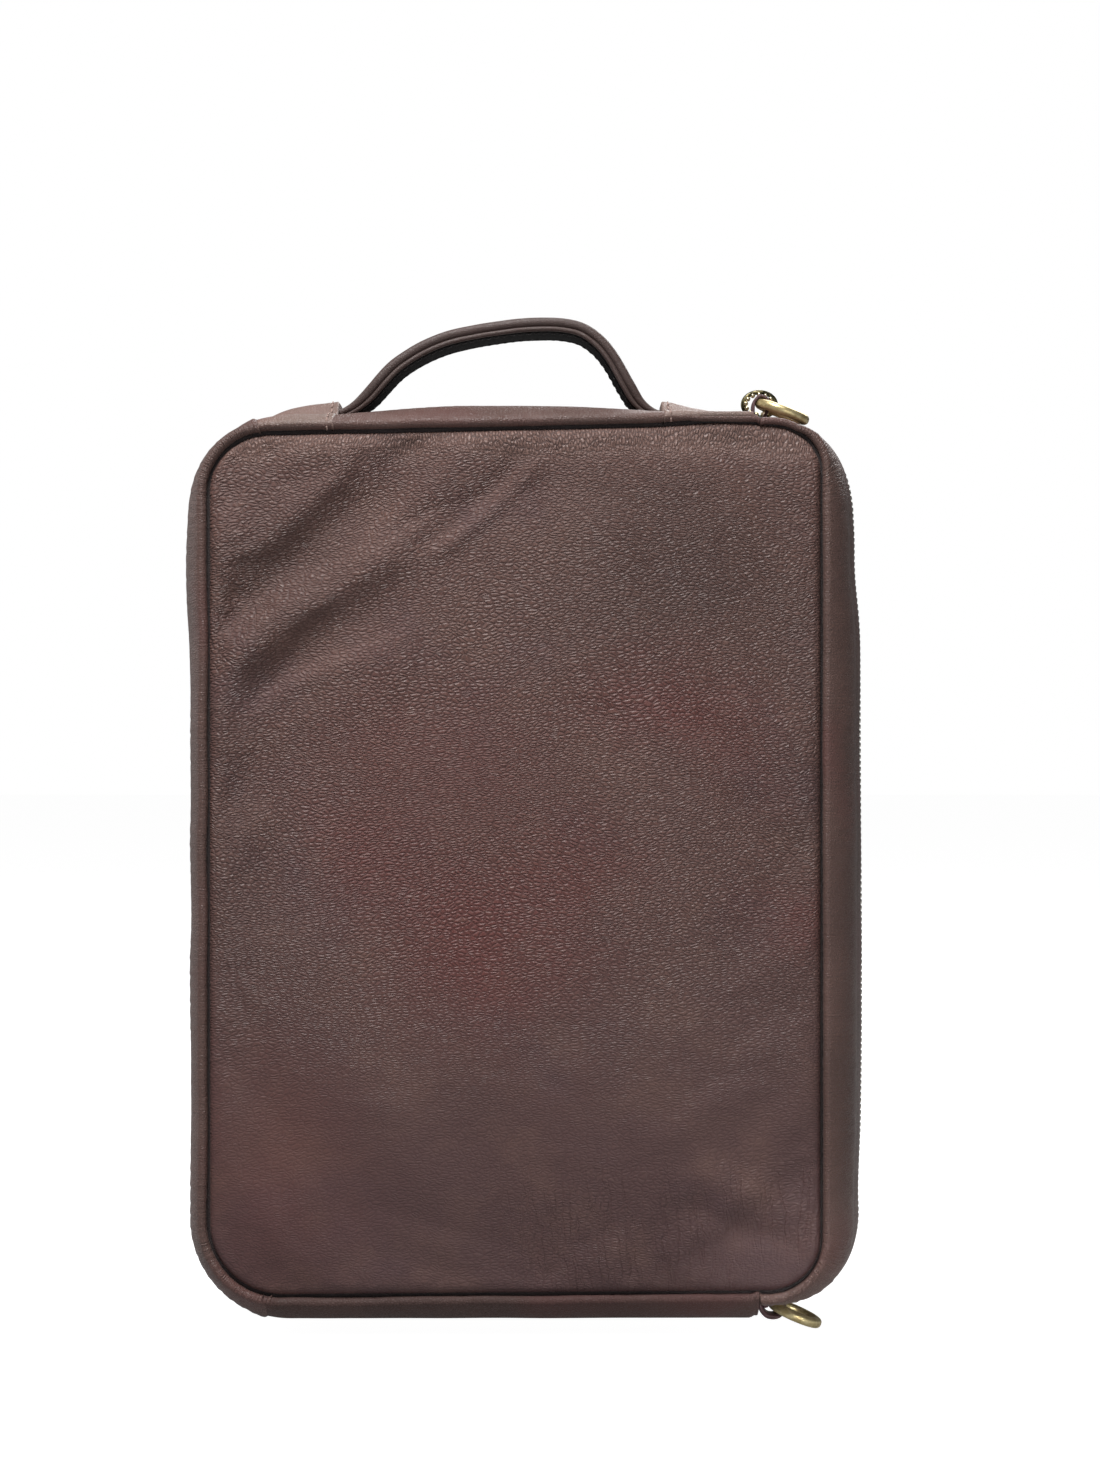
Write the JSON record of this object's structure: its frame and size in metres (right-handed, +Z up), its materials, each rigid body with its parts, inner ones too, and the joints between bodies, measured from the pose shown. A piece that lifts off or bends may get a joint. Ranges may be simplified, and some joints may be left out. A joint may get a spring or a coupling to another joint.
{
  "type": "flight bag",
  "caption": "Upright leather document bag for flight crew with a curved top handle, side zip and strap rings in leather tabs",
  "frame": {"origin": "middle of the flat underside of the base strip, halfway between the front and back walls", "axes": "+Z up towards the handle, -Y out of the front wall, +X towards the zip"},
  "size_m": [0.2609, 0.066, 0.3938],
  "materials": {
    "panel_leather": "pebbled, satin",
    "strip_leather": "fine grain, satin",
    "black_lining": "matte",
    "cloth_lining": "woven, matte",
    "foam": "closed-cell foam",
    "board": "fibreboard",
    "core": "flexible strip",
    "tape": "woven, matte",
    "zip_metal": "polished pale brass",
    "antique_metal": "dark antique",
    "ring_brass": "brushed pale antique brass"
  },
  "bodies": {
    "bag": {"front_panel": "panel_leather", "back_panel": "panel_leather", "front_foam": "foam", "back_foam": "foam", "front_board": "board", "back_board": "board", "front_lining": "cloth_lining", "back_lining": "cloth_lining", "gusset_lining": "cloth_lining", "base_board": "board", "spine_gusset": "strip_leather", "top_gusset": "strip_leather", "base_gusset": "strip_leather", "zip_gusset_front": "strip_leather", "zip_gusset_back": "strip_leather", "zip_tape_front": "tape", "zip_tape_back": "tape", "zip_teeth_front": "zip_metal", "zip_teeth_back": "zip_metal", "zip_stops": "zip_metal", "top_ring_tab": "strip_leather", "bottom_ring_tab": "strip_leather", "handle_anchor_left": "strip_leather", "handle_anchor_right": "strip_leather"},
    "handle": {"handle_leather": "strip_leather", "handle_core": "core", "handle_lining": "black_lining"},
    "slider": {"zip_slider": "antique_metal"},
    "pull": {"zip_pull": "antique_metal"},
    "top_ring": {"top_strap_ring": "ring_brass"},
    "bottom_ring": {"bottom_strap_ring": "ring_brass"}
  },
  "joints": [
    {"name": "handle_tilt", "type": "hinge", "parent": "bag", "child": "handle", "pos_m": [0, 0, 0.3546], "axis": [1, 0, 0], "range_deg": [-50, 50], "stiffness_Nm_per_rad": 0.05},
    {"name": "zip_slider_travel", "type": "hinge", "parent": "bag", "child": "slider", "pos_m": [0.097, 0.007, 0.315], "axis": [0, 1, 0], "range_deg": [0, 88]},
    {"name": "zip_pull_swing", "type": "hinge", "parent": "slider", "child": "pull", "pos_m": [0.0958, 0.007, 0.351], "axis": [-1, 0, 0], "range_deg": [-15, 66]},
    {"name": "top_ring_swing", "type": "hinge", "parent": "bag", "child": "top_ring", "pos_m": [0.0922, -0.0105, 0.3561], "axis": [0, -1, 0], "range_deg": [0, 175]},
    {"name": "bottom_ring_swing", "type": "hinge", "parent": "bag", "child": "bottom_ring", "pos_m": [0.0973, -0.0105, 0.0034], "axis": [0, 1, 0], "range_deg": [-10, 105]}
  ]
}
